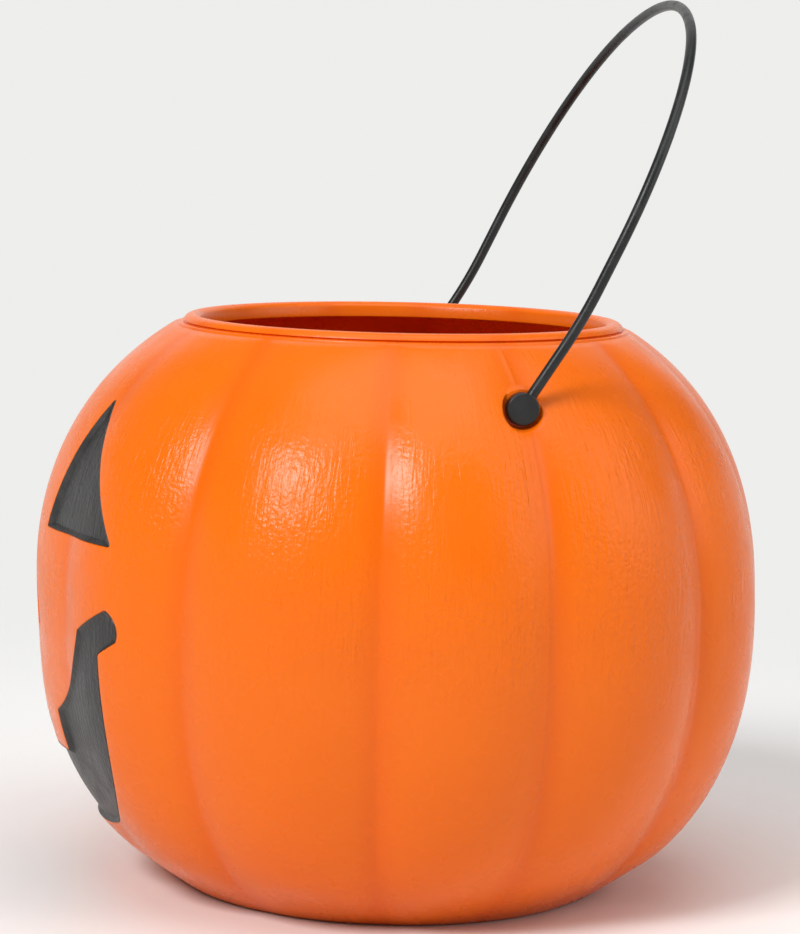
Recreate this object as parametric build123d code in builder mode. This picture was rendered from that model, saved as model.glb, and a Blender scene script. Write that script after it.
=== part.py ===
from build123d import *
import os
from math import asin, cos, radians, sin, sqrt

# Pumpkin candy pail: a thin moulded shell with twelve lobes, a jack-o'-lantern face sunk into
# its front and painted, and a swinging bail that snaps into two seats under the rim.
# Millimetres. The face looks along -Y, +Z is up, the origin is the middle of the base.

# Lobed shell, measured in the grooves at its widest height
groove_radius = 99.0
lobe_rise = 4.5
equator_height = 80.0
base_cut = 12.7
profile_power = 2.2
profile_root = 2.5
fade_margin = 4.0
fade_power = 8
wall = 1.5
section_count = 10
groove_angles = (18.0, 46.0, 77.7, 104.5, 135.0, 163.5)
front_groove_lift = 1.0
front_lobe_drop = 1.2

# Neck and rolled rim
mouth_radius = 57.2
rim_width = 4.8
rim_height = 2.9
rim_drop = 1.2
rim_crest = 1.6
neck_step = 1.5
neck_step_height = 0.7
neck_notch = 0.6
neck_overlap = 0.8

# Base
foot_inset = 2.2
foot_round = 14.0
foot_turn = 30.0
foot_width = 13.0
push_up = 3.0

# Sunk face, seen from the front, with heights taken from the widest height
recess_depth = 1.8
paint_thickness = 0.3
paint_gap = 0.1
eye_inner = 12.4
eye_width = 39.6
eye_rise = 22.5
eye_height = 36.5
eye_lean = 5.1
eye_hollow = 4.0
nose_drop = 7.5
nose_height = 15.5
nose_half_width = 5.2
smile_drop = 5.5
smile_radius = 53.5
lip_rise = 12.0
lip_radius = 43.5
lip_end = 18.0
cheek_reach = 52.5
cheek_radius = 6.2
cheek_low = -20.0
cheek_high = 70.0
tooth_gap = 9.0
tooth_width = 13.0
tooth_drop = 39.5

# Bail: round rod, end discs and barbed pegs
rod_diameter = 2.9
bail_height = 120.6
bail_tilt = 26.0
ankle_share = 0.58
ankle_offset = 3.6
ankle_bend = 9.0
shoulder_offset = 7.9
crown_flattening = 20.6
disc_diameter = 8.7
disc_thickness = 3.2
disc_round = 0.6
disc_gap = 0.3
peg_diameter = 4.0
peg_clearance = 0.25
barb_diameter = 5.6
barb_tip_diameter = 3.0
barb_length = 2.6
barb_gap = 0.3

# Seats that the pegs turn in
pivot_angle = 103.3
pivot_drop = 17.8
seat_diameter = 10.8
seat_sink = 0.6
seat_depth = 5.0
seat_wall = 1.6
seat_lip = 0.2
pocket_reach = 14.0

os.makedirs("parts", exist_ok=True)

# The form's own poles lie beyond the base and the neck, which cut it off
pole_reach = equator_height + base_cut
fade_reach = equator_height + fade_margin
clear_radius = groove_radius + 2 * lobe_rise


def polar(radius, angle):
    """Point at an angle from the middle of the face, positive toward +X."""
    return (radius * sin(radians(angle)), -radius * cos(radians(angle)))


def groove_at(height, inset):
    """Radius of the grooves at a height, on a surface this far inside the outer one."""
    share = abs(height - equator_height) / (pole_reach - inset)
    return (groove_radius - inset) * (1 - share**profile_power) ** (1 / profile_root)


def crest_at(height, inset):
    """Radius of the lobe crests, which fade toward the neck and the base."""
    fade = 1 - (abs(height - equator_height) / fade_reach) ** fade_power
    return groove_at(height, inset) * (1 + lobe_rise / groove_radius * fade)


def lobed_section(height, inset):
    """Twelve arcs, one from each groove to the next, the one at the face's middle flatter."""
    angles = [-angle for angle in reversed(groove_angles)] + list(groove_angles)
    angles.append(angles[0] + 360)
    groove = groove_at(height, inset)
    crest = crest_at(height, inset)
    fade = (crest - groove) / lobe_rise

    def groove_point(angle):
        lift = front_groove_lift if abs(angle) == groove_angles[0] else 0
        return polar(groove + lift * fade, angle)

    with BuildSketch(Plane.XY.offset(height)) as section:
        with BuildLine():
            for start, end in zip(angles, angles[1:]):
                middle = (start + end) / 2
                drop = 0 if middle else front_lobe_drop
                crest_point = polar(crest - drop * fade, middle)
                ThreePointArc(groove_point(start), crest_point, groove_point(end))
        make_face()
    return section.sketch


def lobed_core(inset):
    """The lobed form, this far inside the outer surface, as a solid."""
    first = asin((inset - equator_height) / pole_reach)
    last = asin((shoulder_height - inset - equator_height) / pole_reach)
    steps = [first + (last - first) * i / (section_count - 1) for i in range(section_count)]
    with BuildPart() as core:
        loft([lobed_section(equator_height + pole_reach * sin(step), inset) for step in steps])
    return core.part


def eye_outline(side):
    """Tall eye with an upright inner edge and a hollow outer one."""
    bottom = equator_height + eye_rise
    inner = (side * eye_inner, bottom)
    outer = (side * (eye_inner + eye_width), bottom)
    apex = (side * (eye_inner + eye_lean), bottom + eye_height)
    with BuildSketch(Plane.XZ) as outline:
        with BuildLine():
            Polyline(apex, inner, outer)
            SagittaArc(outer, apex, side * eye_hollow)
        make_face()
    return outline.sketch


def nose_outline():
    """Small triangle between the eyes and the mouth."""
    bottom = equator_height - nose_drop
    left = (-nose_half_width, bottom)
    right = (nose_half_width, bottom)
    with BuildSketch(Plane.XZ) as outline:
        with BuildLine():
            Polyline(left, right, (0, bottom + nose_height), close=True)
        make_face()
    return outline.sketch


def mouth_outline():
    """Half-round grin with turned-up corners and two upper teeth."""
    smile_centre = equator_height - smile_drop
    lip_centre = equator_height + lip_rise
    cheek_centre = Vector(cheek_reach, equator_height)
    tooth_inner = tooth_gap / 2
    tooth_outer = tooth_inner + tooth_width
    tooth_bottom = equator_height - tooth_drop

    def on_lip(x):
        return (x, lip_centre - sqrt(lip_radius**2 - x**2))

    def on_cheek(angle):
        return cheek_centre + Vector(cheek_radius, 0).rotate(Axis.Z, angle)

    low_cheek = on_cheek(cheek_low)
    high_cheek = on_cheek(cheek_high)
    cheek_end = on_cheek((cheek_low + cheek_high) / 2)
    lip_reach = lip_radius * cos(radians(lip_end))
    lip_corner = on_lip(lip_reach)
    lip_middle = on_lip((lip_reach + tooth_outer) / 2)
    with BuildSketch(Plane.XZ) as outline:
        with BuildLine():
            RadiusArc((0, smile_centre - smile_radius), (smile_radius, smile_centre), -smile_radius)
            Line((smile_radius, smile_centre), low_cheek)
            ThreePointArc(low_cheek, cheek_end, high_cheek)
            Line(high_cheek, lip_corner)
            ThreePointArc(lip_corner, lip_middle, on_lip(tooth_outer))
            Polyline(on_lip(tooth_outer), (tooth_outer, tooth_bottom), (tooth_inner, tooth_bottom))
            Line((tooth_inner, tooth_bottom), on_lip(tooth_inner))
            ThreePointArc(on_lip(tooth_inner), on_lip(tooth_inner / 2), on_lip(0))
            mirror(about=Plane.YZ)
        make_face()
    return outline.sketch


face_outlines = {
    "left_eye_paint": eye_outline(1),
    "right_eye_paint": eye_outline(-1),
    "nose_paint": nose_outline(),
    "mouth_paint": mouth_outline(),
}

# The shoulder ends where the grooves meet the neck
rim_radius = mouth_radius + rim_width
neck_radius = rim_radius + neck_step
neck_share = (1 - (neck_radius / groove_radius) ** profile_root) ** (1 / profile_power)
shoulder_height = equator_height + pole_reach * neck_share
step_height = shoulder_height + neck_step_height
rim_top = shoulder_height + rim_height

# The pivots lie beside the grooves, where the mould parts
pivot_height = rim_top - pivot_drop
pivot_x, pivot_y = polar(groove_at(pivot_height, 0), pivot_angle)
seat_x = pivot_x - seat_sink
pivot_axis = Axis((0, pivot_y, pivot_height), (1, 0, 0))

outer_form = lobed_core(0)

# Outside of the painted recesses, down to their floors
with BuildPart() as recesses:
    for outline in face_outlines.values():
        extrude(outline, amount=clear_radius)
    add(lobed_core(recess_depth), mode=Mode.SUBTRACT)

# Backs of the recesses, which stand into the pail so that its wall stays as thick there
with BuildPart() as recess_backs:
    for outline in face_outlines.values():
        with BuildSketch(Plane.XZ):
            add(outline)
            offset(amount=wall)
        extrude(amount=clear_radius)
    add(lobed_core(wall / 2), mode=Mode.INTERSECT)
    add(lobed_core(recess_depth + wall), mode=Mode.SUBTRACT)

# Thickened wall round each seat
with BuildPart() as seat_collars:
    for side in (1, -1):
        back = Vector(side * (seat_x - seat_depth), pivot_y, pivot_height)
        with BuildSketch(Plane(back, z_dir=(side, 0, 0))):
            Circle(seat_diameter / 2 + seat_wall)
        extrude(amount=seat_depth + pocket_reach)
    add(outer_form, mode=Mode.INTERSECT)

with BuildPart() as pail_body:
    add(outer_form)

    # Soft turn from the sides to the flat foot
    foot_radius = groove_at(0, 0) - foot_inset
    with BuildSketch(Plane.XZ):
        with BuildLine():
            Line((0, 0), (foot_radius, 0))
            turn = JernArc((foot_radius, 0), (1, 0), foot_round, foot_turn)
            flare = PolarLine(
                turn @ 1, clear_radius - (turn @ 1).X, foot_turn, length_mode=LengthMode.HORIZONTAL
            )
            Polyline(flare @ 1, (clear_radius, rim_top), (0, rim_top), (0, 0))
        make_face()
    revolve(axis=Axis.Z, mode=Mode.INTERSECT)

    # Hollow inside, recesses and their backs
    add(lobed_core(wall), mode=Mode.SUBTRACT)
    add(recess_backs.part)
    add(recesses.part, mode=Mode.SUBTRACT)

    # Pushed-up middle of the base
    push_up_radius = foot_radius - foot_width
    with BuildSketch(Plane.XZ):
        with BuildLine():
            Line((0, wall + push_up), (0, wall / 2))
            Line((0, wall / 2), (push_up_radius, wall / 2))
            Line((push_up_radius, wall / 2), (push_up_radius, wall))
            TangentArc((0, wall + push_up), (push_up_radius, wall), tangent=(1, 0))
        make_face()
    revolve(axis=Axis.Z)
    with BuildSketch(Plane.XZ):
        with BuildLine():
            TangentArc((0, push_up), (push_up_radius, 0), tangent=(1, 0))
            Polyline((push_up_radius, 0), (0, 0), (0, push_up))
        make_face()
    revolve(axis=Axis.Z, mode=Mode.SUBTRACT)

    # Neck step and rolled rim
    inner_corner = (mouth_radius, shoulder_height - wall)
    inner_edge = (mouth_radius, rim_top - rim_drop)
    outer_edge = (rim_radius, step_height + neck_notch)
    with BuildSketch(Plane.XZ):
        with BuildLine():
            Line(inner_corner, inner_edge)
            ThreePointArc(inner_edge, (mouth_radius + rim_crest, rim_top), outer_edge)
            Polyline(
                outer_edge,
                (rim_radius - neck_notch, step_height),
                (neck_radius, step_height),
                (neck_radius, shoulder_height - neck_overlap),
                inner_corner,
            )
        make_face()
    revolve(axis=Axis.Z)
    with BuildSketch(Plane.XY.offset(shoulder_height - 2 * wall)):
        Circle(mouth_radius)
    extrude(amount=2 * wall + rim_height, mode=Mode.SUBTRACT)

    # Flat seats for the end discs, and the holes that the pegs snap through
    add(seat_collars.part)
    for side in (1, -1):
        seat = Plane((side * seat_x, pivot_y, pivot_height), z_dir=(side, 0, 0))
        with BuildSketch(seat):
            Circle(seat_diameter / 2)
        extrude(amount=pocket_reach, mode=Mode.SUBTRACT)
        with BuildSketch(seat):
            Circle(seat_diameter / 2 - seat_lip)
        extrude(amount=-seat_depth)
        with BuildSketch(seat):
            Circle(peg_diameter / 2 + peg_clearance)
        extrude(amount=-2 * seat_depth, mode=Mode.SUBTRACT)

# Paint on the recess floors, one film for each feature of the face
paint_face = lobed_core(recess_depth - paint_gap - paint_thickness)
paint_back = lobed_core(recess_depth - paint_gap)
for name, outline in face_outlines.items():
    with BuildPart() as paint:
        with BuildSketch(Plane.XZ):
            add(outline)
            offset(amount=-paint_gap)
        extrude(amount=clear_radius)
        add(paint_face, mode=Mode.INTERSECT)
        add(paint_back, mode=Mode.SUBTRACT)
    paint.part.label = name
    export_step(paint.part, f"parts/{name}.step")

# Bail in the plane that it leans back in
disc_inner = seat_x + disc_gap
disc_outer = disc_inner + disc_thickness
rod_x = disc_inner + disc_thickness / 2
bend_radius = rod_x - shoulder_offset
crown_radius = bend_radius + crown_flattening
crown_centre = bail_height - crown_radius
leg_length = crown_centre + sqrt(crown_flattening**2 - shoulder_offset**2)
bend_end_x = shoulder_offset * crown_radius / crown_flattening
bend_end_y = crown_centre + (leg_length - crown_centre) * crown_radius / crown_flattening
lean = radians(bail_tilt)
bail_plane = Plane((0, pivot_y, pivot_height), x_dir=(1, 0, 0), z_dir=(0, -cos(lean), sin(lean)))
rod_plane = bail_plane.offset(-ankle_offset)
ankle_height = ankle_share * leg_length
bend_share = ankle_bend / sqrt(ankle_height**2 + ankle_offset**2)
ankle_start = (rod_x, ankle_height * (1 - bend_share), ankle_offset * bend_share)

with BuildPart() as bail_handle:
    # Rod: ankles that slant back from the pivots, straight legs, round bends and a flatter crown
    with BuildLine(rod_plane) as rod_path:
        ankle = Line((rod_x, 0, ankle_offset), ankle_start)
        turn = TangentArc(ankle @ 1, (rod_x, ankle_height + ankle_bend), tangent=ankle % 1)
        leg = Line(turn @ 1, (rod_x, leg_length))
        TangentArc(leg @ 1, (bend_end_x, bend_end_y), tangent=leg % 1)
        mirror(about=Plane.YZ)
        ThreePointArc((bend_end_x, bend_end_y), (0, bail_height), (-bend_end_x, bend_end_y))
    with BuildSketch(Plane(ankle @ 0, z_dir=ankle % 0)):
        Circle(rod_diameter / 2)
    sweep(path=rod_path.line)

    # Ends: a disc outside each seat, a peg through it and a barb behind it
    barb_x = seat_x - seat_depth - barb_gap
    with BuildSketch(bail_plane):
        with BuildLine():
            Polyline(
                (barb_x - barb_length, 0),
                (barb_x - barb_length, barb_tip_diameter / 2),
                (barb_x, barb_diameter / 2),
                (barb_x, peg_diameter / 2),
                (disc_inner, peg_diameter / 2),
                (disc_inner, disc_diameter / 2),
                (disc_outer - disc_round, disc_diameter / 2),
            )
            RadiusArc(
                (disc_outer - disc_round, disc_diameter / 2),
                (disc_outer, disc_diameter / 2 - disc_round),
                disc_round,
            )
            Polyline(
                (disc_outer, disc_diameter / 2 - disc_round),
                (disc_outer, 0),
                (barb_x - barb_length, 0),
            )
        make_face()
        mirror(about=Plane.YZ)
    revolve(axis=pivot_axis)

pail_body.part.label = "pail_body"
export_step(pail_body.part, "parts/pail_body.step")
bail_handle.part.label = "bail_handle"
export_step(bail_handle.part, "parts/bail_handle.step")
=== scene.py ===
from math import acos, asin, atan2, ceil, cos, degrees, pi, radians, sin, sqrt

import bmesh
import bpy
import numpy as np
from mathutils import Matrix, Vector
from mathutils.geometry import delaunay_2d_cdt


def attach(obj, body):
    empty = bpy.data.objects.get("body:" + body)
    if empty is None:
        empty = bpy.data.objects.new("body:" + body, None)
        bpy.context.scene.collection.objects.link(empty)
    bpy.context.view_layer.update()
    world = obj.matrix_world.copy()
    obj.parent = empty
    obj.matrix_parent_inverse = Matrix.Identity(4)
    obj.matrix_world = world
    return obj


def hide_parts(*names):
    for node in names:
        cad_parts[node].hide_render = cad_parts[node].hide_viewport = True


# A pumpkin candy pail: lobed shell with a sunk, painted jack-o'-lantern face, and a bail.
# Lengths are millimetres until a mesh is made, angles are degrees from the middle of the face.
# The camera, the lights and the stage are in metres.

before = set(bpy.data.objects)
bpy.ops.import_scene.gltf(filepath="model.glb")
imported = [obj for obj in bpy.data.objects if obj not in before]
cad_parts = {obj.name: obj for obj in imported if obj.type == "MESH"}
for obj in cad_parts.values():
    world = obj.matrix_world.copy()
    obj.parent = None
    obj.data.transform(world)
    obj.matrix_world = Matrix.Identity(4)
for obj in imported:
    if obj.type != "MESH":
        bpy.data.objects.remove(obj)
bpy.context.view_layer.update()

METRE = 0.001

# Lobed shell
groove_radius = 99.0
lobe_rise = 4.5
equator_height = 80.0
base_cut = 12.7
profile_power = 2.2
profile_root = 2.5
fade_margin = 4.0
fade_power = 8
wall = 1.5
groove_angles = (18.0, 46.0, 77.7, 104.5, 135.0, 163.5)
groove_softness = (2.0, 0.7, 0.7, 2.4, 0.9, 0.9)
lobe_overlap = 20.0

# The lobe that carries the face is flatter, and its grooves shallower, most of all at the shoulder
front_groove_lift = 1.0
shoulder_lift = 1.6
shoulder_start = 85.0
shoulder_end = 125.0
front_lobe_drop = 1.8
flat_height = 70.0
flat_reach = 24.0

# Fine line that the mould leaves up each side
parting_angle = 103.2
parting_rise = 0.16
parting_width = 0.5
parting_steps = (-1.6, -0.8, 0.0, 0.8, 1.6)

# Neck, rim and base
mouth_radius = 57.2
rim_width = 4.8
rim_height = 2.9
rim_drop = 1.2
rim_crest = 1.6
neck_step = 1.5
neck_step_height = 0.7
neck_notch = 0.6
step_softness = 0.4
step_lip = 0.2
step_corner = 0.3
foot_inset = 0.6
foot_round = 5.0
foot_turn = 35.0
foot_width = 13.0
foot_blend = 0.8
push_up = 3.0

# Sunk face, with heights taken from the widest height
recess_depth = 1.8
floor_softness = 4.0
corner_round = 0.55
tooth_round = 1.2
corner_turn = 12.0
paint_thickness = 0.2
paint_gap = 0.05
eye_inner = 12.4
eye_width = 41.4
eye_rise = 22.5
eye_height = 36.5
eye_lean = 9.6
eye_bow = 0.5
nose_drop = 7.5
nose_height = 15.5
nose_half_width = 5.2
smile_drop = 6.3
smile_reach = 52.2
smile_depth = 54.5
smile_power = 2.8
lip_rise = 12.0
lip_radius = 43.5
lip_end = 18.0
cheek_reach = 52.5
cheek_radius = 6.2
cheek_low = -20.0
cheek_high = 70.0
tooth_gap = 9.0
tooth_width = 13.0
tooth_drop = 39.5

# Edge of a recess: distance in from its outline, and share of the depth reached there
recess_edge = ((-0.4, 0.0), (-0.22, 0.03), (-0.08, 0.1), (0.0, 0.18), (0.42, 0.46), (0.84, 0.75),
               (1.14, 0.95), (1.22, 0.985), (1.34, 1.0))
corner_reach = 0.75
back_spread = 0.5

# Ring of that edge at which the paint starts: on the wall or, in the nose, near the floor
paint_start = 3
floor_start = 7
film_narrowing = 0.4

# Bail and its seats
rod_diameter = 2.9
bail_height = 120.6
bail_tilt = 26.0
ankle_share = 0.58
ankle_offset = 3.6
ankle_bend = 9.0
shoulder_offset = 7.9
crown_flattening = 20.6
disc_diameter = 8.7
disc_thickness = 3.2
disc_round = 0.6
disc_gap = 0.3
peg_diameter = 4.0
peg_clearance = 0.25
barb_diameter = 5.6
barb_tip_diameter = 3.0
barb_length = 2.6
barb_gap = 0.3
pivot_angle = 103.3
pivot_drop = 17.8
seat_diameter = 10.8
seat_sink = 0.6
seat_depth = 5.0
seat_wall = 1.6
seat_edge = ((-0.6, 0.0), (-0.3, 0.05), (-0.1, 0.2), (0.0, 0.4), (0.08, 0.7), (0.2, 0.93),
             (0.4, 1.0))
seat_ring_shares = (0.35, 0.7, 1.0)

# Moulded grain: sizes in millimetres, and the heights in metres between which it comes and goes
grain_size = 1.5
grain_stretch = 7.0
grain_waviness = 0.8
grain_detail = 3.0
stipple_size = 1.2
stipple_detail = 1.0
stipple_share = 0.6
crest_range = (0.6, 6.0)
grain_start = (0.05, 0.085)
grain_end = (0.128, 0.150, 1.0, 0.25)
grain_patch_size = 26.0
grain_patches = (0.35, 0.65, 0.35, 1.0)

# Plastics and paint: two tones and two roughnesses, between which noise moves
shell_specular = 0.26
shell_tones = ((0.84, 0.138, 0.001), (0.88, 0.163, 0.0018))
# Darker tone painted into the grooves as shade, where the crest attribute is low
painted_groove_shade_tone = (0.83, 0.132, 0.001)
shell_tone_size = 34.0
shell_gloss_size = 9.0
shell_gloss_range = (0.3, 0.7)
shell_roughness = (0.25, 0.32)
shell_relief = 0.4
paint_specular = 0.5
paint_tones = ((0.014, 0.0135, 0.0135), (0.034, 0.032, 0.031))
paint_wear_size = 7.0
paint_wear_range = (0.35, 0.75)
paint_roughness = (0.38, 0.50)
paint_relief = 0.4
bail_specular = 0.4
bail_tones = ((0.010, 0.011, 0.011), (0.017, 0.018, 0.018))
bail_scuff_size = 5.0
bail_scuff_range = (0.45, 0.7)
bail_roughness = (0.34, 0.46)
bail_grain_size = 0.7
bail_relief = 0.03
wear_detail = 4.0

# Camera, at the angle of the photograph
image_height = 934
sensor_size = 36
camera_distance = 0.900
camera_azimuth = 80.2
camera_height = 0.2267
camera_pitch = 6.92
camera_roll = 1.30
focal_pixels = 3192

# Lights: name, azimuth from the camera, elevation, width of the square, and power
light_distance = 3.0
light_target = 0.09
lights = (
    ("key", -38, 40, 0.9, 62),
    ("top", 20, 78, 2.6, 40),
    ("fill", 75, 30, 2.2, 25),
)
world_strength = 0.18

# Pale floor, the sweep behind the pail and the low wall far off
floor_colour = (0.86, 0.86, 0.85)
floor_roughness = 0.9
backdrop_colour = (0.855, 0.855, 0.84)
backdrop_range = (0.2, 0.5)
sweep_width = 2.6
sweep_distance = 2.2
sweep_bend = 1.2
sweep_height = 3.2
sweep_rows = 24
ring_radius = 12.0
ring_height = 2.8
ring_sides = 96

# Density of the meshes
columns_per_lobe = 24
row_spacing = 1.9
foot_rows = (0.0, 0.25, 0.6, 1.1)
first_even_row = 1.7
outline_spacing = 0.4
outline_clearance = 0.6
floor_spacing = 2.4
floor_clearance = 0.5
curve_points = 60
corner_points = 12
bead_points = 14
base_rings = 12
seat_points = 64
rod_sides = 28
foot_points = 7
ankle_points = 9
bend_points = 40
crown_points = 24
disc_sides = 56
disc_corner_points = 7

# Heights between which the walls leave windows for the face and the seats
outer_face_heights = (12.0, 150.0)
inner_face_heights = (10.0, 150.0)
outer_seat_heights = (120.0, 156.0)
inner_seat_heights = (115.0, 155.0)
seat_window = 26.0

# Working limits: rounds of a search, points handled at once, and lengths that count as nothing
search_rounds = 12
batch = 50
room_neighbours = 2
tiny = 1e-9
triangle_tolerance = 1e-7
weld_distance = 2e-7
least_edge = 1e-8
quad_bend = 20.0
quad_skew = 50.0
crease_angle = 40.0

# The form's own poles lie beyond the base and the neck, which cut it off
pole_reach = equator_height + base_cut
fade_reach = equator_height + fade_margin


def groove_at(height, inset):
    """Radius of the grooves at a height, on a surface this far inside the outer one."""
    share = np.abs(height - equator_height) / (pole_reach - inset)
    return (groove_radius - inset) * np.maximum(1 - share**profile_power, 0) ** (1 / profile_root)


def crest_at(height, inset):
    """Radius of the lobe crests, which fade toward the neck and the base."""
    fade = 1 - (np.abs(height - equator_height) / fade_reach) ** fade_power
    return groove_at(height, inset) * (1 + lobe_rise / groove_radius * fade)


def all_grooves():
    """Angles of the twelve grooves, from -180 up."""
    return [-angle for angle in reversed(groove_angles)] + list(groove_angles)


def lobes():
    """Middle angle and half width of each lobe, and whether its first groove, its last groove
    and its crest belong to the lobe of the face."""
    angles = all_grooves()
    front = [abs(angle) == groove_angles[0] for angle in angles]
    found = []
    for i, start in enumerate(angles):
        end = angles[i + 1] if i + 1 < len(angles) else angles[0] + 360
        middle, half = (start + end) / 2, (end - start) / 2
        found.append((middle, half, front[i], front[(i + 1) % len(angles)], middle == 0))
    return found


def softer(a, b, width):
    """The larger of two values, with the corner between them rounded."""
    return (a + b + np.sqrt((a - b) ** 2 + width**2)) / 2


def lobed_radius(angle, height, inset, softness=None):
    """Radius of the lobed surface. Neighbouring lobes meet in a groove of this softness."""
    angle, height = np.broadcast_arrays(np.asarray(angle, float), np.asarray(height, float))
    groove, crest = groove_at(height, inset), crest_at(height, inset)
    fade = (crest - groove) / lobe_rise
    climb = np.clip((height - shoulder_start) / (shoulder_end - shoulder_start), 0, 1)
    lift = (front_groove_lift + shoulder_lift * climb) * fade
    drop = front_lobe_drop * np.exp(-(((height - flat_height) / flat_reach) ** 2)) * fade
    found = []
    for middle, half, first_front, last_front, crest_front in lobes():
        turn = np.radians((angle - middle + 180) % 360 - 180)
        near = np.abs(turn) < radians(half + lobe_overlap)
        first, last = groove + lift * first_front, groove + lift * last_front
        (x, y), size = circle_through(
            (first * cos(radians(half)), -first * sin(radians(half))),
            (crest - drop * crest_front, 0 * crest),
            (last * cos(radians(half)), last * sin(radians(half))))
        along = x * np.cos(turn) + y * np.sin(turn)
        chord = along**2 - x**2 - y**2 + size**2
        found.append(np.where(near, along + np.sqrt(np.maximum(chord, 0)), 0.0))
    ranked = np.sort(np.array(found), axis=0)
    if softness is None:
        gaps = np.abs(np.abs(angle)[..., None] - np.array(groove_angles))
        softness = np.array(groove_softness)[np.argmin(gaps, axis=-1)]
    return softer(ranked[-1], ranked[-2], softness)


def foot_reach(height):
    """Radius of the soft turn from the sides to the flat foot."""
    turn_height = foot_round * (1 - cos(radians(foot_turn)))
    turned = foot_radius + np.sqrt(np.maximum(foot_round**2 - (foot_round - height) ** 2, 0))
    turn_reach = foot_radius + foot_round * sin(radians(foot_turn))
    flared = turn_reach + (height - turn_height) / np.tan(radians(foot_turn))
    return np.where(height < turn_height, turned, flared)


def outer_radius(angle, height, inset=0.0, softness=None):
    """Radius of the outside, with the foot and the fine line that the mould leaves."""
    lobed = lobed_radius(angle, height, inset, softness)
    from_line = (np.abs(angle) - parting_angle) * radians(1) * lobed
    line = parting_rise * np.exp(-((from_line / parting_width) ** 2))
    foot = foot_reach(np.asarray(height, float)) - inset
    return -softer(-(lobed + line), -foot, foot_blend)


def inner_radius(angle, height, inset=wall, softness=None):
    """Radius of the inside of the wall."""
    return lobed_radius(angle, height, inset, softness)


def at(radius, angle, height):
    """Points at a radius, an angle and a height."""
    angle = np.radians(angle)
    parts = np.broadcast_arrays(radius * np.sin(angle), -radius * np.cos(angle), height)
    return np.stack([np.asarray(part, float) for part in parts], axis=-1)


def angle_for_x(x, height, radius_at):
    """Angle on the front at which a surface has this x."""
    angle = np.zeros_like(x)
    for _ in range(search_rounds):
        angle = np.degrees(np.arcsin(np.clip(x / radius_at(angle, height), -1, 1)))
    return angle


def angle_for_y(y, height, radius_at, side):
    """Angle on one side at which a surface has this y."""
    angle = np.full_like(y, 90.0 * side)
    for _ in range(search_rounds):
        angle = side * np.degrees(np.arccos(np.clip(-y / radius_at(angle, height), -1, 1)))
    return angle


# Places worked out from the sizes
rim_radius = mouth_radius + rim_width
neck_radius = rim_radius + neck_step
neck_share = (1 - (neck_radius / groove_radius) ** profile_root) ** (1 / profile_power)
shoulder_height = equator_height + pole_reach * neck_share
step_height = shoulder_height + neck_step_height
rim_top = shoulder_height + rim_height
foot_radius = float(groove_at(0.0, 0.0)) - foot_inset
push_up_radius = foot_radius - foot_width
pivot_height = rim_top - pivot_drop
pivot_x = float(groove_at(pivot_height, 0.0)) * sin(radians(pivot_angle))
pivot_y = -float(groove_at(pivot_height, 0.0)) * cos(radians(pivot_angle))
seat_x = pivot_x - seat_sink


def arc(centre, radius, start, end, count=curve_points):
    """Points on an arc, by angles in degrees."""
    turns = np.radians(np.linspace(start, end, count))
    x, y = centre[0] + radius * np.cos(turns), centre[1] + radius * np.sin(turns)
    return np.stack([x, y], axis=1)


def eye_outline(side):
    """Tall eye with a steep inner edge and a slightly bowed outer one, as points on (x, z)."""
    bottom = equator_height + eye_rise
    inner = np.array((eye_inner, bottom))
    outer = np.array((eye_inner + eye_width, bottom))
    apex = np.array((eye_inner + eye_lean, bottom + eye_height))
    chord = apex - outer
    across = np.array((chord[1], -chord[0])) / np.linalg.norm(chord)
    share = np.linspace(0, 1, curve_points)[:, None]
    bowed = outer + chord * share + across * eye_bow * 4 * share * (1 - share)
    points = np.concatenate([[apex], [inner], bowed[:-1]])
    return points * np.array((side, 1))


def nose_outline():
    """Small triangle between the eyes and the mouth."""
    bottom = equator_height - nose_drop
    top = bottom + nose_height
    return np.array(((-nose_half_width, bottom), (nose_half_width, bottom), (0, top)))


def mouth_outline():
    """Broad grin with a boxy lower edge, turned-up corners and two upper teeth."""
    turns = np.radians(np.linspace(-90, 0, curve_points))
    smile = np.stack([
        smile_reach * np.abs(np.cos(turns)) ** (2 / smile_power),
        equator_height - smile_drop - smile_depth * np.abs(np.sin(turns)) ** (2 / smile_power),
    ], axis=1)
    lip_height = equator_height + lip_rise
    tooth_inner = tooth_gap / 2
    tooth_outer = tooth_inner + tooth_width
    tooth_bottom = equator_height - tooth_drop

    def lip_angle(x):
        return -degrees(acos(x / lip_radius))

    half = np.concatenate([
        smile,
        arc((cheek_reach, equator_height), cheek_radius, cheek_low, cheek_high),
        arc((0, lip_height), lip_radius, -lip_end, lip_angle(tooth_outer)),
        [(tooth_outer, tooth_bottom), (tooth_inner, tooth_bottom)],
        arc((0, lip_height), lip_radius, lip_angle(tooth_inner), -90),
    ])
    other = half[::-1][1:-1] * np.array((-1, 1))
    return np.concatenate([half, other])


def resampled(points, spacing):
    """A closed loop at even steps."""
    closed = np.concatenate([points, points[:1]])
    lengths = np.concatenate([[0], np.cumsum(np.linalg.norm(np.diff(closed, axis=0), axis=1))])
    count = int(ceil(lengths[-1] / spacing))
    steps = np.linspace(0, lengths[-1], count, endpoint=False)
    return np.stack([np.interp(steps, lengths, closed[:, i]) for i in range(2)], axis=1)


def turning(loop):
    """Twice the area of a closed loop, above zero where it runs anticlockwise."""
    after = np.roll(loop, -1, axis=0)
    return np.sum(loop[:, 0] * after[:, 1] - after[:, 0] * loop[:, 1])


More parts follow.
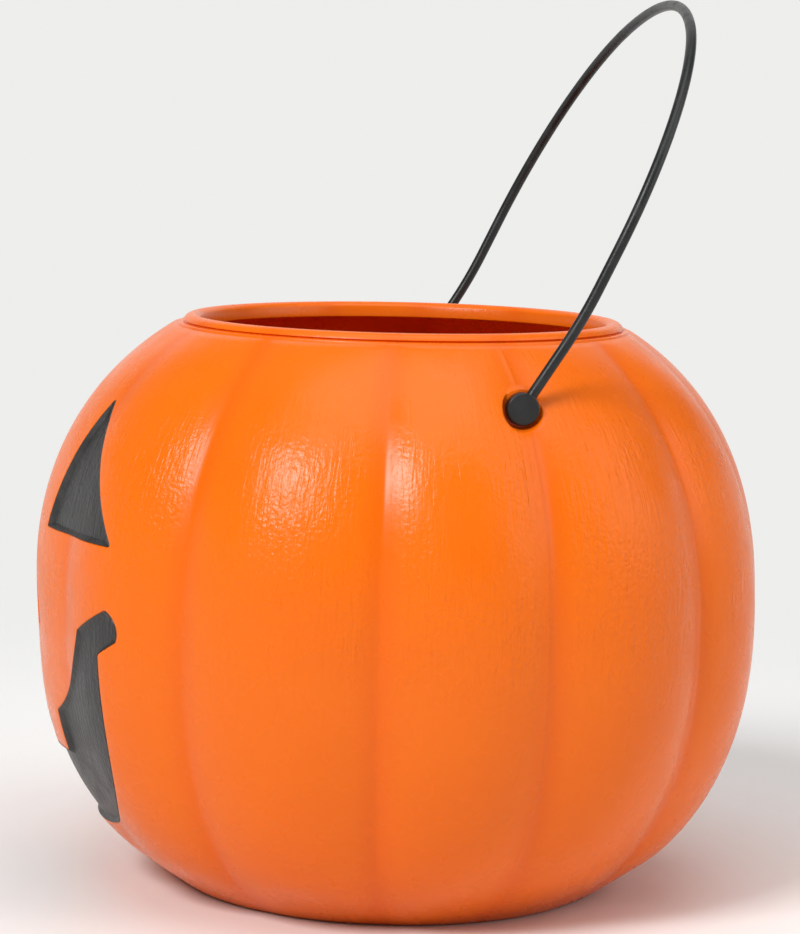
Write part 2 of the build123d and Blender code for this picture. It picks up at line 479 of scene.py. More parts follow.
def rounded_loop(points):
    """A closed loop, anticlockwise, with its sharp corners made arcs, at even steps."""
    points = points if turning(points) > 0 else points[::-1]
    longest = np.argmax(np.linalg.norm(np.roll(points, -1, axis=0) - points, axis=1))
    points = np.roll(points, -longest - 1, axis=0)
    before, after = points - np.roll(points, 1, axis=0), np.roll(points, -1, axis=0) - points
    heading = [np.arctan2(side[:, 1], side[:, 0]) for side in (before, after)]
    turn = (heading[1] - heading[0] + np.pi) % (2 * np.pi) - np.pi
    lengths = np.concatenate([[0], np.cumsum(np.linalg.norm(after, axis=1))])
    closed = np.concatenate([points, points[:1]])

    def along(distance):
        place = distance % lengths[-1]
        return np.array([np.interp(place, lengths, closed[:, i]) for i in range(2)])

    made, made_until = [], -1.0
    share = np.linspace(0, 1, corner_points)[:, None]
    for i, corner in enumerate(points):
        if abs(turn[i]) < radians(corner_turn):
            if lengths[i] > made_until:
                made.append((lengths[i], corner[None, :]))
            continue
        radius = corner_round if turn[i] > 0 else tooth_round
        reach = radius * np.tan(abs(turn[i]) / 2)
        start, end = along(lengths[i] - reach), along(lengths[i] + reach)
        weight = cos(turn[i] / 2)
        parts = (1 - share) ** 2, 2 * weight * share * (1 - share), share**2
        curve = (parts[0] * start + parts[1] * corner + parts[2] * end) / sum(parts)
        made = [item for item in made if item[0] < lengths[i] - reach or len(item[1]) > 1]
        made.append((lengths[i], curve))
        made_until = lengths[i] + reach
    return resampled(np.concatenate([item[1] for item in made]), outline_spacing)


def inward(loop):
    """Unit directions into an anticlockwise loop."""
    along = np.roll(loop, -1, axis=0) - np.roll(loop, 1, axis=0)
    along /= np.linalg.norm(along, axis=1)[:, None]
    return np.stack([-along[:, 1], along[:, 0]], axis=1)


def room(loop, into):
    """How far each point of a loop can move in before it meets the rest of the loop."""
    limit = np.full(len(loop), np.inf)
    for start in range(0, len(loop), batch):
        part = slice(start, start + batch)
        between = loop[part, None, :] - loop[None, :, :]
        toward = -np.einsum("ijk,ik->ij", between, into[part])
        gap = np.sum(between**2, axis=2)
        free = np.where(toward > tiny, gap / (2 * np.maximum(toward, tiny)), np.inf)
        limit[part] = free.min(axis=1)
    steps = range(-room_neighbours, room_neighbours + 1)
    return np.min([np.roll(limit, step) for step in steps], axis=0)


def inside(points, loop):
    """Which points lie inside a closed loop."""
    result = np.zeros(len(points), bool)
    for a, b in zip(loop, np.roll(loop, -1, axis=0)):
        crosses = (a[1] > points[:, 1]) != (b[1] > points[:, 1])
        rise = b[1] - a[1] if b[1] != a[1] else 1.0
        left = points[:, 0] < (b[0] - a[0]) * (points[:, 1] - a[1]) / rise + a[0]
        result ^= crosses & left
    return result


def far_from(points, loop, distance):
    """Which points are at least this far from a loop's points."""
    result = np.ones(len(points), bool)
    for start in range(0, len(loop), batch):
        part = loop[start:start + batch]
        gaps = np.linalg.norm(points[:, None, :] - part[None, :, :], axis=2)
        result &= gaps.min(axis=1) > distance
    return result


def triangulated(points, chains):
    """Triangles on flat points, keeping closed chains of point numbers as edges."""
    edges = [(a, b) for chain in chains for a, b in zip(chain, chain[1:] + chain[:1])]
    made = delaunay_2d_cdt([Vector(p) for p in points], edges, [], 0, triangle_tolerance)
    names = [origin[0] for origin in made[3]]
    return [[names[i] for i in face] for face in made[2]]


class Builder:
    """Collects points and faces, and makes one mesh object of them."""

    def __init__(self):
        self.points = []
        self.faces = []

    def add(self, points):
        """Adds points and returns their numbers."""
        start = len(self.points)
        self.points.extend(np.asarray(points, float).reshape(-1, 3))
        return list(range(start, len(self.points)))

    def strip(self, first, second):
        """Quads between two closed rings of as many points."""
        for i in range(len(first)):
            j = (i + 1) % len(first)
            self.faces.append((first[i], first[j], second[j], second[i]))

    def skin(self, rings):
        """Quads from each closed ring to the next."""
        for first, second in zip(rings, rings[1:]):
            self.strip(first, second)

    def fan(self, ring, centre):
        """Triangles from a closed ring to one point."""
        for i in range(len(ring)):
            self.faces.append((ring[i], ring[(i + 1) % len(ring)], centre))

    def make(self, name, material):
        """The finished object, welded, with its faces turned outward."""
        mesh = bpy.data.meshes.new(name)
        mesh.from_pydata([tuple(p * METRE) for p in self.points], [], self.faces)
        work = bmesh.new()
        work.from_mesh(mesh)
        bmesh.ops.remove_doubles(work, verts=work.verts, dist=weld_distance)
        bmesh.ops.dissolve_degenerate(work, edges=work.edges, dist=least_edge)
        bmesh.ops.join_triangles(
            work, faces=[f for f in work.faces if len(f.verts) == 3],
            angle_face_threshold=radians(quad_bend), angle_shape_threshold=radians(quad_skew))
        bmesh.ops.recalc_face_normals(work, faces=work.faces)
        work.to_mesh(mesh)
        work.free()
        return placed(mesh, name, material)


def placed(mesh, name, material):
    """An object for a mesh, shaded smooth, with its creases kept."""
    for polygon in mesh.polygons:
        polygon.use_smooth = True
    mesh.set_sharp_from_angle(angle=radians(crease_angle))
    mesh.materials.clear()
    mesh.materials.append(material)
    made = bpy.data.objects.new(name, mesh)
    bpy.context.scene.collection.objects.link(made)
    return made


def lattice_columns():
    """Angles of the columns of points, closer together beside the grooves."""
    angles = all_grooves()
    share = (1 - np.cos(np.pi * np.arange(columns_per_lobe) / columns_per_lobe)) / 2
    ends = angles[1:] + [angles[0] + 360]
    columns = np.concatenate([start + (end - start) * share for start, end in zip(angles, ends)])
    line = degrees(parting_width / groove_radius)
    extra = np.array([side * parting_angle + line * step
                      for side in (1, -1) for step in parting_steps])
    closest = line / 3
    clear = np.min(np.abs(columns[:, None] - extra[None, :]), axis=1) > closest
    return np.sort(np.concatenate([columns[clear], extra]))


def lattice_rows(low, high):
    """Heights of the rows of points, at about even steps along the wall."""
    first, last = (asin((z - equator_height) / pole_reach) for z in (low, high))
    count = int(ceil((last - first) * pole_reach / row_spacing))
    return equator_height + pole_reach * np.sin(np.linspace(first, last, count))


def flat(angle, height):
    """Where a point of the wall lies on the wall rolled out flat."""
    along = np.arcsin(np.clip((np.asarray(height) - equator_height) / pole_reach, -1, 1))
    return np.stack([np.asarray(angle) * radians(groove_radius), along * pole_reach], axis=-1)


def lattice(builder, columns, rows, radius_at, windows):
    """The wall as quads, with windows cut round the loops of points that features start from.
    Returns the rings of points at the lowest and the highest row."""
    count = len(columns)
    grid_angle, grid_height = np.meshgrid(columns, rows)
    grid = at(radius_at(grid_angle, grid_height), grid_angle, grid_height)
    numbers = np.array(builder.add(grid)).reshape(len(rows), count)
    taken = np.zeros((len(rows) - 1, count), bool)
    for low_angle, high_angle, low, high, loops in windows:
        across = np.arange(*np.searchsorted(columns, (low_angle, high_angle)))
        up = np.arange(*np.searchsorted(rows, (low, high)))
        taken[up[0]:up[-1], across[0]:across[-1]] = True
        cells = np.ix_(up, across)
        spots = flat(grid_angle[cells], grid_height[cells]).reshape(-1, 2)
        used = numbers[cells].reshape(-1)
        edge = np.zeros((len(up), len(across)), bool)
        edge[[0, -1]] = True
        edge[:, [0, -1]] = True
        keep = np.ones(len(spots), bool)
        clearance = outline_spacing * outline_clearance
        for loop, _ in loops:
            keep &= ~inside(spots, loop) & far_from(spots, loop, clearance)
        keep |= edge.reshape(-1)
        spots, used = spots[keep], list(used[keep])
        chains = []
        for loop, loop_numbers in loops:
            chains.append(list(range(len(spots), len(spots) + len(loop))))
            spots = np.concatenate([spots, loop])
            used += loop_numbers
        faces = triangulated(spots, chains)
        middles = np.array([spots[face].mean(axis=0) for face in faces])
        hollow = np.zeros(len(faces), bool)
        for loop, _ in loops:
            hollow |= inside(middles, loop)
        kept = [face for face, gone in zip(faces, hollow) if not gone]
        builder.faces.extend([used[i] for i in face] for face in kept)
    for i in range(len(rows) - 1):
        for j in range(count):
            if not taken[i, j]:
                k = (j + 1) % count
                low_pair, high_pair = numbers[i, [j, k]], numbers[i + 1, [k, j]]
                builder.faces.append((*low_pair, *high_pair))
    return list(numbers[0]), list(numbers[-1])


def on_front(spots, inset, radius_at, softness=None):
    """Points of the front wall straight behind places on (x, z)."""
    x, height = spots[:, 0], spots[:, 1]

    def radius(angle, z):
        return radius_at(angle, z, inset, softness)

    angle = angle_for_x(x, height, radius)
    return at(radius(angle, height), angle, height)


def filled(builder, loop, numbers, lift):
    """Faces that fill a loop of places, with more places inside it lifted to their points."""
    low, high = loop.min(axis=0), loop.max(axis=0)
    across = np.arange(low[0], high[0], floor_spacing)
    up = np.arange(low[1], high[1], floor_spacing)
    spots = np.stack(np.meshgrid(across, up), axis=-1).reshape(-1, 2)
    spots = spots[inside(spots, loop) & far_from(spots, loop, floor_spacing * floor_clearance)]
    used = list(numbers) + builder.add(lift(spots))
    spots = np.concatenate([loop, spots])
    loop_way = turning(loop)
    rounded = spots.astype(np.float32).astype(float)
    for face in triangulated(spots, [list(range(len(loop)))]):
        first, second, third = sorted(face)
        one, two = rounded[second] - rounded[first], rounded[third] - rounded[first]
        # A face between points of the loop alone is inside it if it turns the loop's way,
        # by the single-precision places that the faces were found from
        if third >= len(loop) or (one[0] * two[1] - one[1] * two[0]) * loop_way > 0:
            builder.faces.append([used[i] for i in face])


def sunk_skin(builder, loop, edge, near, far, radius_at, near_softness, far_softness):
    """Rings from one depth down to another along an edge's shape, then the floor.
    Returns the places of the first ring and the numbers of its points."""
    into = inward(loop)
    limit = corner_reach * room(loop, into)
    distances, shares = np.array(edge).T
    rings = []
    for distance in distances:
        moved = np.minimum(distance, limit)
        places = loop + into * moved[:, None]
        top = on_front(places, near, radius_at, near_softness)
        bottom = on_front(places, far, radius_at, far_softness)
        share = np.interp(moved, distances, shares)[:, None]
        rings.append((places, builder.add(top + (bottom - top) * share)))
    builder.skin([numbers for _, numbers in rings])
    places, numbers = rings[-1]

    def lift(spots):
        return on_front(spots, far, radius_at, far_softness)

    filled(builder, places, numbers, lift)
    return rings[0]


def face_loops():
    """The outline of each painted feature, with rounded corners."""
    return {
        "left_eye_paint": rounded_loop(eye_outline(1)),
        "right_eye_paint": rounded_loop(eye_outline(-1)),
        "nose_paint": rounded_loop(nose_outline()),
        "mouth_paint": rounded_loop(mouth_outline()),
    }


def seat_skin(builder, side, radius, edge, radius_at, floor_x, hole_radius):
    """Rings from the wall to a flat seat and in to its hole.
    Returns the first ring, its places on the rolled out wall, and the ring of the hole."""
    turns = np.linspace(0, 2 * np.pi, seat_points, endpoint=False)

    def circle(size):
        return pivot_y + size * np.cos(turns), pivot_height + size * np.sin(turns)

    rings = []
    first_flat = None
    for distance, share in edge:
        y, height = circle(radius - distance)
        angle = angle_for_y(y, height, radius_at, side)
        ring = at(radius_at(angle, height), angle, height)
        sunk_x = floor_x(ring[:, 0] * side) * side
        ring[:, 0] += (sunk_x - ring[:, 0]) * share
        rings.append(builder.add(ring))
        if first_flat is None:
            first_flat = flat(angle, height)
    last = radius - edge[-1][0]
    for size in (last - (last - hole_radius) * step for step in seat_ring_shares):
        y, height = circle(size)
        angle = angle_for_y(y, height, radius_at, side)
        wall_x = radius_at(angle, height) * np.sin(np.radians(angle)) * side
        rings.append(builder.add(np.stack([floor_x(wall_x) * side, y, height], axis=1)))
    builder.skin(rings)
    return rings[0], first_flat, rings[-1]


def circle_through(a, b, c):
    """Centre and radius of the circle through three points."""
    (ax, ay), (bx, by), (cx, cy) = a, b, c
    scale = 2 * (ax * (by - cy) + bx * (cy - ay) + cx * (ay - by))
    a_square, b_square, c_square = ax**2 + ay**2, bx**2 + by**2, cx**2 + cy**2
    x = (a_square * (by - cy) + b_square * (cy - ay) + c_square * (ay - by)) / scale
    y = (a_square * (cx - bx) + b_square * (ax - cx) + c_square * (bx - ax)) / scale
    return (x, y), np.hypot(ax - x, ay - y)


def rim_profile():
    """Radius and height of the rings from the shoulder, over the rolled rim, to the inside."""
    inner_edge = (mouth_radius, rim_top - rim_drop)
    crest = (mouth_radius + rim_crest, rim_top)
    outer_edge = (rim_radius, step_height + neck_notch)
    centre, radius = circle_through(inner_edge, crest, outer_edge)
    start, end = (degrees(atan2(p[1] - centre[1], p[0] - centre[0]))
                  for p in (outer_edge, inner_edge))
    bead = arc(centre, radius, start, end, bead_points)
    soft = neck_step_height * step_softness
    step = [
        (neck_radius + soft, shoulder_height + soft * step_lip),
        (neck_radius, step_height - soft),
        (neck_radius - soft * step_corner, step_height - soft * step_corner),
        (neck_radius - soft, step_height),
        (rim_radius - neck_notch + soft, step_height),
        (rim_radius - neck_notch, step_height + soft),
    ]
    inside_wall = [
        (mouth_radius, shoulder_height - wall + soft),
        (mouth_radius + soft, shoulder_height - wall),
    ]
    return step + [tuple(point) for point in bead] + inside_wall


def mark_crests(shell):
    """Stores on each point of the wall how far up a lobe it is, for the grain and the painted
    groove shade.
    """
    mesh = shell.data
    points = np.empty(len(mesh.vertices) * 3)
    mesh.vertices.foreach_get("co", points)
    x, y, _ = points.reshape(-1, 3).T / METRE
    angle = np.degrees(np.arctan2(np.abs(x), -y))
    gaps = np.min(np.abs(angle[:, None] - np.array(groove_angles)), axis=1)
    low, high = crest_range
    share = np.clip((gaps * radians(1) * np.hypot(x, y) - low) / (high - low), 0, 1)
    stored = mesh.attributes.new("crest", "FLOAT", "POINT")
    stored.data.foreach_set("value", share.astype(np.float32))


def build_body(loops, material):
    """The pail's shell, in one closed mesh."""
    builder = Builder()
    columns = lattice_columns()
    outer_rows = np.concatenate([foot_rows, lattice_rows(first_even_row, shoulder_height)])
    inner_rows = lattice_rows(wall, shoulder_height - wall)
    face_low, face_high = -groove_angles[1], groove_angles[1]
    outer_face, inner_face = [], []
    back_edge = [(distance - back_spread, share) for distance, share in recess_edge]
    for loop in loops.values():
        places, numbers = sunk_skin(builder, loop, recess_edge, 0.0, recess_depth, outer_radius,
                                    None, floor_softness)
        angles = angle_for_x(places[:, 0], places[:, 1], outer_radius)
        outer_face.append((flat(angles, places[:, 1]), numbers))
        places, numbers = sunk_skin(builder, loop, back_edge, wall, wall + recess_depth,
                                    inner_radius, None, floor_softness)
        angles = angle_for_x(places[:, 0], places[:, 1], inner_radius)
        inner_face.append((flat(angles, places[:, 1]), numbers))
    outer_windows = [(face_low, face_high, *outer_face_heights, outer_face)]
    inner_windows = [(face_low, face_high, *inner_face_heights, inner_face)]
    hole = peg_diameter / 2 + peg_clearance
    for side in (1, -1):
        ring, spots, mouth = seat_skin(builder, side, seat_diameter / 2, seat_edge, outer_radius,
                                       lambda x: np.full_like(x, seat_x), hole)
        back_ring, back_spots, back_mouth = seat_skin(
            builder, side, seat_diameter / 2 + seat_wall, seat_edge, inner_radius,
            lambda x: np.minimum(x, seat_x - seat_depth), hole)
        builder.strip(mouth, back_mouth)
        low, high = sorted(side * (pivot_angle + turn) for turn in (-seat_window, seat_window))
        outer_windows.append((low, high, *outer_seat_heights, [(spots, ring)]))
        inner_windows.append((low, high, *inner_seat_heights, [(back_spots, back_ring)]))
    foot_ring, shoulder_ring = lattice(builder, columns, outer_rows, outer_radius, outer_windows)
    floor_ring, ceiling_ring = lattice(builder, columns, inner_rows, inner_radius, inner_windows)

    ring = shoulder_ring
    for radius, height in rim_profile():
        following = builder.add(at(radius, columns, height))
        builder.strip(ring, following)
        ring = following
    builder.strip(ring, ceiling_ring)

    dome = (push_up_radius**2 + push_up**2) / (2 * push_up)
    steps = np.linspace(push_up_radius, 0, base_rings)[:-1]
    for ring, lift in ((foot_ring, 0.0), (floor_ring, wall)):
        for radius in steps:
            height = lift + push_up - dome + sqrt(dome**2 - radius**2)
            following = builder.add(at(radius, columns, height))
            builder.strip(ring, following)
            ring = following
        builder.fan(ring, builder.add([(0, 0, lift + push_up)])[0])
    shell = builder.make("pail_shell", material)
    mark_crests(shell)
    return shell


def build_paint(name, loop, start, material):
    """One painted feature: a thin film on its recess, from one ring of the edge to the floor."""
    builder = Builder()
    edge = recess_edge[start:]
    films = []
    for lift in (paint_gap, paint_gap + paint_thickness):
        moved = [(distance + lift * film_narrowing, share) for distance, share in edge]
        _, numbers = sunk_skin(builder, loop, moved, -lift, recess_depth - lift, outer_radius,
                               None, floor_softness)
        films.append(numbers)
    builder.strip(films[0], films[1])
    return builder.make(name, material)


def bail_points(places):
    """Points given across, along and in front of the plane that the bail's legs lean back in."""
    lean = radians(bail_tilt)
    along = np.array((0, sin(lean), cos(lean)))
    ahead = np.array((0, -cos(lean), sin(lean)))
    start = np.array((0, pivot_y, pivot_height)) - ankle_offset * ahead
    across = np.array((1, 0, 0))
    return start + places[:, :1] * across + places[:, 1:2] * along + places[:, 2:] * ahead


def build_bail(material):
    """The bail: a rod with straight legs, round bends and a flatter crown, and its snap-in ends."""
    disc_inner = seat_x + disc_gap
    disc_outer = disc_inner + disc_thickness
    rod_x = disc_inner + disc_thickness / 2
    bend_radius = rod_x - shoulder_offset
    crown_radius = bend_radius + crown_flattening
    crown_centre = bail_height - crown_radius
    leg_length = crown_centre + sqrt(crown_flattening**2 - shoulder_offset**2)
    bend_end = degrees(atan2(leg_length - crown_centre, shoulder_offset))
    ankle_height = ankle_share * leg_length
    foot = np.array((rod_x, 0, ankle_offset))
    ankle = np.array((rod_x, ankle_height, 0))
    ankle_start = ankle + (foot - ankle) * ankle_bend / np.linalg.norm(foot - ankle)
    ankle_end = ankle + np.array((0, ankle_bend, 0))
    share = np.linspace(0, 1, ankle_points)[:, None]
    parts = (1 - share) ** 2, 2 * share * (1 - share), share**2
    turned = parts[0] * ankle_start + parts[1] * ankle + parts[2] * ankle_end
    upper = np.concatenate([
        arc((shoulder_offset, leg_length), bend_radius, 0, bend_end, bend_points)[:-1],
        arc((0, crown_centre), crown_radius, bend_end, 90, crown_points),
    ])
    half = np.concatenate([
        foot + (ankle_start - foot) * np.linspace(0, 1, foot_points)[:-1, None],
        turned,
        np.pad(upper, ((0, 0), (0, 1))),
    ])
    path = bail_points(np.concatenate([half, half[::-1][1:] * np.array((-1, 1, 1))]))
    rod = Builder()
    turns = np.linspace(0, 2 * np.pi, rod_sides, endpoint=False)[:, None]
    tangents = np.gradient(path, axis=0)
    ahead = bail_points(np.array([(0, 0, 1)])) - bail_points(np.array([(0, 0, 0)]))
    sideways = np.cross(tangents, ahead)
    sideways /= np.linalg.norm(sideways, axis=1)[:, None]
    facing = np.cross(sideways, tangents)
    facing /= np.linalg.norm(facing, axis=1)[:, None]
    rings = []
    for point, out, face in zip(path, sideways, facing):
        ring = point + rod_diameter / 2 * (np.cos(turns) * out + np.sin(turns) * face)
        rings.append(rod.add(ring))
    rod.skin(rings)
    for ring, point in ((rings[0], path[0]), (rings[-1], path[-1])):
        rod.fan(ring, rod.add([point])[0])
    bail = rod.make("bail", material)

    barb_x = seat_x - seat_depth - barb_gap
    corner_centre = (disc_outer - disc_round, disc_diameter / 2 - disc_round)
    corner = arc(corner_centre, disc_round, 90, 0, disc_corner_points)
    chamfer = disc_round / 3
    profile = [
        (barb_x - barb_length, barb_tip_diameter / 2),
        (barb_x, barb_diameter / 2),
        (barb_x, peg_diameter / 2),
        (disc_inner, peg_diameter / 2),
        (disc_inner, disc_diameter / 2 - chamfer),
        (disc_inner + chamfer, disc_diameter / 2),
    ] + [tuple(point) for point in corner]
    turns = np.linspace(0, 2 * np.pi, disc_sides, endpoint=False)
    for side, name in ((1, "left_end"), (-1, "right_end")):
        end = Builder()
        rings = []
        for x, radius in profile:
            ring = np.stack([np.full(len(turns), side * x), pivot_y + radius * np.cos(turns),
                             pivot_height + radius * np.sin(turns)], axis=1)
            rings.append(end.add(ring))
        end.skin(rings)
        for ring, x in ((rings[0], profile[0][0]), (rings[-1], profile[-1][0])):
            end.fan(ring, end.add([(side * x, pivot_y, pivot_height)])[0])
        bail = joined(bail, end.make(name, material), material)
    return bail


def joined(first, second, material):
    """One object from two that overlap, without the faces inside."""
    union = first.modifiers.new("union", "BOOLEAN")
    union.operation = "UNION"
    union.solver = "EXACT"
    union.object = second
    graph = bpy.context.evaluated_depsgraph_get()
    mesh = bpy.data.meshes.new_from_object(first.evaluated_get(graph))
    name = first.name
    bpy.data.objects.remove(first)
    bpy.data.objects.remove(second)
    return placed(mesh, name, material)


def add_node(tree, kind, inputs=None, **settings):
    """A node with its settings, and its inputs set to values or linked to sockets."""
    node = tree.nodes.new(kind)
    for name, value in settings.items():
        setattr(node, name, value)
    for name, value in (inputs or {}).items():
        if isinstance(value, bpy.types.NodeSocket):
            tree.links.new(value, node.inputs[name])
        else:
            node.inputs[name].default_value = value
    return node


def vector_node(tree, operation, first, second=None):
    """A sum, product or direction of vectors."""
    inputs = {0: first} if second is None else {0: first, 1: second}
    return add_node(tree, "ShaderNodeVectorMath", inputs, operation=operation).outputs["Vector"]


def math_node(tree, operation, first, second):
    """A sum, product or maximum of numbers."""
    inputs = {0: first, 1: second}
    return add_node(tree, "ShaderNodeMath", inputs, operation=operation).outputs["Value"]


def noise(tree, place, size, detail=2.0, distortion=0.0):
    """Soft noise with spots of about this size in millimetres."""
    scale = 1 / (size * METRE)
    inputs = {"Vector": place, "Scale": scale, "Detail": detail, "Distortion": distortion}
    return add_node(tree, "ShaderNodeTexNoise", inputs).outputs["Fac"]


def ranged(tree, value, low, high, out_low=0.0, out_high=1.0):
    """A value eased from one range into another."""
    inputs = {"Value": value, "From Min": low, "From Max": high,
              "To Min": out_low, "To Max": out_high}
    node = add_node(tree, "ShaderNodeMapRange", inputs, interpolation_type="SMOOTHSTEP")
    return node.outputs["Result"]


def colour_mix(tree, share, first, second):
    """A colour between two, by a share."""
    node = add_node(tree, "ShaderNodeMix", data_type="RGBA")
    for index, value in ((0, share), (6, first), (7, second)):
        if isinstance(value, bpy.types.NodeSocket):
            tree.links.new(value, node.inputs[index])
        else:
            node.inputs[index].default_value = (*value, 1)
    return node.outputs[2]


def plastic(name, specular):
    """A new material with its node tree, its shader and the place of a point on the object."""
    material = bpy.data.materials.new(name)
    material.use_nodes = True
    tree = material.node_tree
    shader = tree.nodes["Principled BSDF"]
    shader.inputs["Specular IOR Level"].default_value = specular
    return material, tree, shader, add_node(tree, "ShaderNodeTexCoord").outputs["Object"]


def upright(tree, place, stretch):
    """Places by which noise is drawn out into streaks that run up the wall."""
    outward = vector_node(tree, "NORMALIZE", vector_node(tree, "MULTIPLY", place, (1, 1, 0)))
    round_wall = vector_node(tree, "MULTIPLY", outward, (groove_radius * METRE,) * 3)
    up_wall = vector_node(tree, "MULTIPLY", place, (0, 0, 1 / stretch))
    return vector_node(tree, "ADD", round_wall, up_wall)


def set_bump(tree, shader, height, depth):
    """Gives a shader a relief of this depth in millimetres."""
    bump = add_node(tree, "ShaderNodeBump", {"Height": height, "Distance": depth * METRE})
    tree.links.new(bump.outputs["Normal"], shader.inputs["Normal"])


def set_wear(tree, shader, wear, tones, roughness):
    """Moves a shader between two tones and two roughnesses where it is worn."""
    tree.links.new(colour_mix(tree, wear, *tones), shader.inputs["Base Color"])
    tree.links.new(ranged(tree, wear, 0.0, 1.0, *roughness), shader.inputs["Roughness"])


def moulded_grain(tree, place):
    """Height of the fine upright grain and the leathery stipple of the moulded wall."""
    streaks = upright(tree, place, grain_stretch)
    grain = noise(tree, streaks, grain_size, grain_detail, grain_waviness)
    stipple = noise(tree, place, stipple_size, stipple_detail)
    return math_node(tree, "ADD", grain, math_node(tree, "MULTIPLY", stipple, stipple_share))


def shell_material():
    """Orange plastic, semi-gloss, moulded grain fading low down and in the grooves, and painted
    shade in them.
    """
    material, tree, shader, place = plastic("orange_plastic", shell_specular)
    height = add_node(tree, "ShaderNodeSeparateXYZ", {0: place}).outputs["Z"]
    crest = add_node(tree, "ShaderNodeAttribute", attribute_name="crest").outputs["Fac"]
    patches = ranged(tree, noise(tree, place, grain_patch_size), *grain_patches)
    above, below = ranged(tree, height, *grain_start), ranged(tree, height, *grain_end)
    share = math_node(tree, "MULTIPLY", math_node(tree, "MULTIPLY", above, below), patches)
    share = math_node(tree, "MULTIPLY", share, crest)
    relief = math_node(tree, "MULTIPLY", moulded_grain(tree, place), share)
    set_bump(tree, shader, relief, shell_relief)
    tone = colour_mix(tree, noise(tree, place, shell_tone_size), *shell_tones)
    # Painted shade: the grooves are pulled toward a darker tone by the crest attribute
    tone = colour_mix(tree, crest, painted_groove_shade_tone, tone)
    tree.links.new(tone, shader.inputs["Base Color"])
    gloss = noise(tree, place, shell_gloss_size)
    roughness = ranged(tree, gloss, *shell_gloss_range, *shell_roughness)
    tree.links.new(roughness, shader.inputs["Roughness"])
    return material


def paint_material():
    """Black paint, a little worn and uneven, over the same moulded grain."""
    material, tree, shader, place = plastic("charcoal_paint", paint_specular)
    set_bump(tree, shader, moulded_grain(tree, place), paint_relief)
    wear = ranged(tree, noise(tree, place, paint_wear_size, wear_detail), *paint_wear_range)
    set_wear(tree, shader, wear, paint_tones, paint_roughness)
    return material


def bail_material():
    """Black satin plastic with faint scuffs."""
    material, tree, shader, place = plastic("black_plastic", bail_specular)
    scuffs = ranged(tree, noise(tree, place, bail_scuff_size, wear_detail), *bail_scuff_range)
    set_bump(tree, shader, noise(tree, place, bail_grain_size), bail_relief)
    set_wear(tree, shader, scuffs, bail_tones, bail_roughness)
    return material


def floor_material():
    """Pale floor that takes the pail's shadow, and an even pale backdrop further off."""
    material, tree, shader, place = plastic("pale_floor", 0.0)
    shader.inputs["Base Color"].default_value = (*floor_colour, 1)
    shader.inputs["Roughness"].default_value = floor_roughness
    paths = add_node(tree, "ShaderNodeLightPath").outputs
    seen = math_node(tree, "MAXIMUM", paths["Is Camera Ray"], paths["Is Glossy Ray"])
    seen = math_node(tree, "MAXIMUM", seen, paths["Is Transmission Ray"])
    length = add_node(tree, "ShaderNodeVectorMath", {0: place}, operation="LENGTH")
    far_off = ranged(tree, length.outputs["Value"], *backdrop_range)
    share = math_node(tree, "MULTIPLY", seen, far_off)
    glow = add_node(tree, "ShaderNodeEmission", {"Color": (*backdrop_colour, 1), "Strength": 1.0})
    shaders = {0: share, 1: shader.outputs[0], 2: glow.outputs[0]}
    mixed = add_node(tree, "ShaderNodeMixShader", shaders)
    tree.links.new(mixed.outputs[0], tree.nodes["Material Output"].inputs["Surface"])
    return material


def add_camera():
    """A camera at the photograph's place, turned a little about its own axis as there."""
    azimuth, pitch, roll = (radians(a) for a in (camera_azimuth, camera_pitch, camera_roll))
    forward = Vector((-sin(azimuth) * cos(pitch), cos(azimuth) * cos(pitch), -sin(pitch)))
    level = forward.cross(Vector((0, 0, 1))).normalized()
    level_up = level.cross(forward)
    right = level * cos(roll) + level_up * sin(roll)
    up = level_up * cos(roll) - level * sin(roll)
    data = bpy.data.cameras.new("camera")
    data.sensor_width = sensor_size
    data.lens = focal_pixels / image_height * data.sensor_width
    camera = bpy.data.objects.new("camera", data)
    camera.matrix_world = Matrix((
        (right.x, up.x, -forward.x, camera_distance * sin(azimuth)),
        (right.y, up.y, -forward.y, -camera_distance * cos(azimuth)),
        (right.z, up.z, -forward.z, camera_height),
        (0, 0, 0, 1),
    ))
    bpy.context.scene.collection.objects.link(camera)
    bpy.context.scene.camera = camera


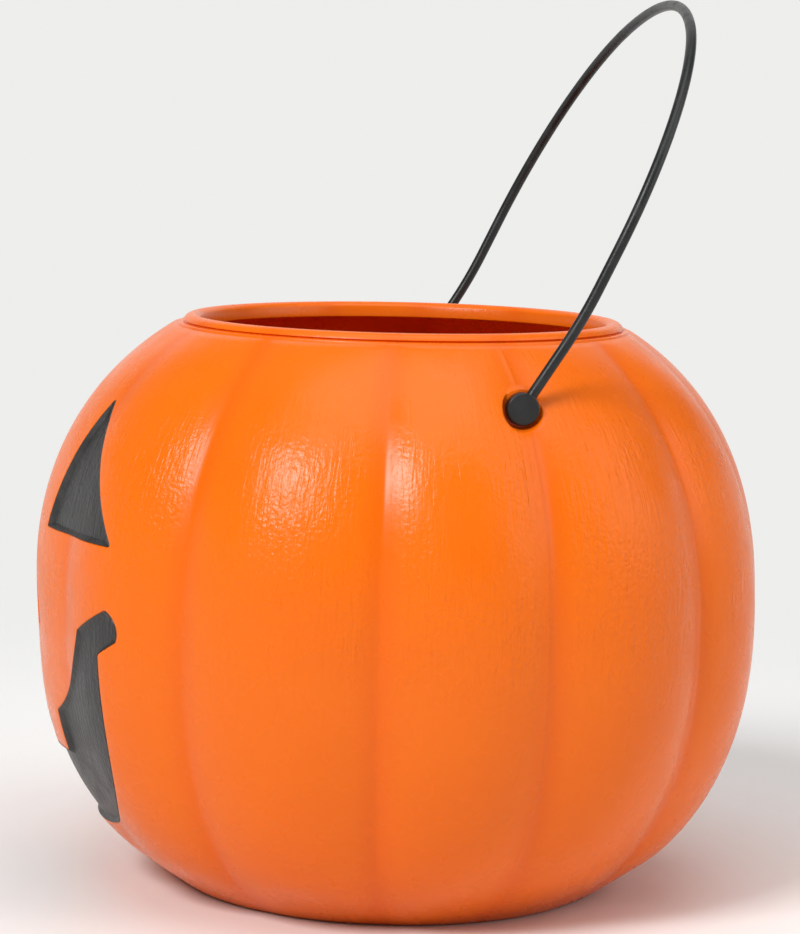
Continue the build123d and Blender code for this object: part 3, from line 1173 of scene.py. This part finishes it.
def add_light(name, azimuth, elevation, size, power):
    """A square soft light aimed at the middle of the pail, at an azimuth taken from the camera."""
    turn, rise = radians(camera_azimuth + azimuth), radians(elevation)
    back = Vector((sin(turn) * cos(rise), -cos(turn) * cos(rise), sin(rise)))
    data = bpy.data.lights.new(name, "AREA")
    data.shape = "RECTANGLE"
    data.size = data.size_y = size
    data.energy = power
    light = bpy.data.objects.new(name, data)
    light.location = Vector((0, 0, light_target)) + back * light_distance
    light.rotation_mode = "QUATERNION"
    light.rotation_quaternion = back.to_track_quat("Z", "Y")
    bpy.context.scene.collection.objects.link(light)


def add_stage():
    """A pale floor with a low wall far off, a pale sweep behind the pail, and a dim, even world."""
    flat_end = sweep_distance - sweep_bend
    sweep = [(flat_end + sweep_bend * cos(turn), sweep_bend + sweep_bend * sin(turn))
             for turn in np.linspace(-pi / 2, 0, sweep_rows)] + [(sweep_distance, sweep_height)]
    azimuth = radians(camera_azimuth)
    away = np.array((-sin(azimuth), cos(azimuth), 0))
    across = np.array((cos(azimuth), sin(azimuth), 0))
    builder = Builder()
    rows = []
    for distance, height in sweep:
        middle = away * distance + np.array((0, 0, height))
        row = [middle + across * side for side in (-sweep_width / 2, sweep_width / 2)]
        rows.append(builder.add(np.array(row) / METRE))
    for first, second in zip(rows, rows[1:]):
        builder.faces.append((first[0], first[1], second[1], second[0]))
    turns = np.linspace(0, 2 * pi, ring_sides, endpoint=False)
    circle = np.stack([np.cos(turns), np.sin(turns), 0 * turns], axis=1) * ring_radius / METRE
    low = builder.add(circle)
    high = builder.add(circle + np.array((0, 0, ring_height / METRE)))
    builder.faces.append(tuple(low))
    builder.strip(low, high)
    builder.make("floor", floor_material())
    world = bpy.data.worlds.new("studio")
    bpy.context.scene.world = world
    world.use_nodes = True
    background = world.node_tree.nodes["Background"]
    background.inputs["Color"].default_value = (1, 1, 1, 1)
    background.inputs["Strength"].default_value = world_strength


def dress():
    """Builds every piece, in place of the plain node that it stands for."""
    loops = face_loops()
    shell = build_body(loops, shell_material())
    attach(shell, "pail")
    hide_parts("pail_body")
    black = paint_material()
    for node, loop in loops.items():
        start = floor_start if node == "nose_paint" else paint_start
        film = build_paint(node.replace("_paint", "_film"), loop, start, black)
        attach(film, "pail")
        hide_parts(node)
    bail = build_bail(bail_material())
    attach(bail, "bail")
    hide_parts("bail_handle")


dress()
add_stage()
add_camera()
for light in lights:
    add_light(*light)
bpy.context.scene.view_settings.view_transform = "Standard"
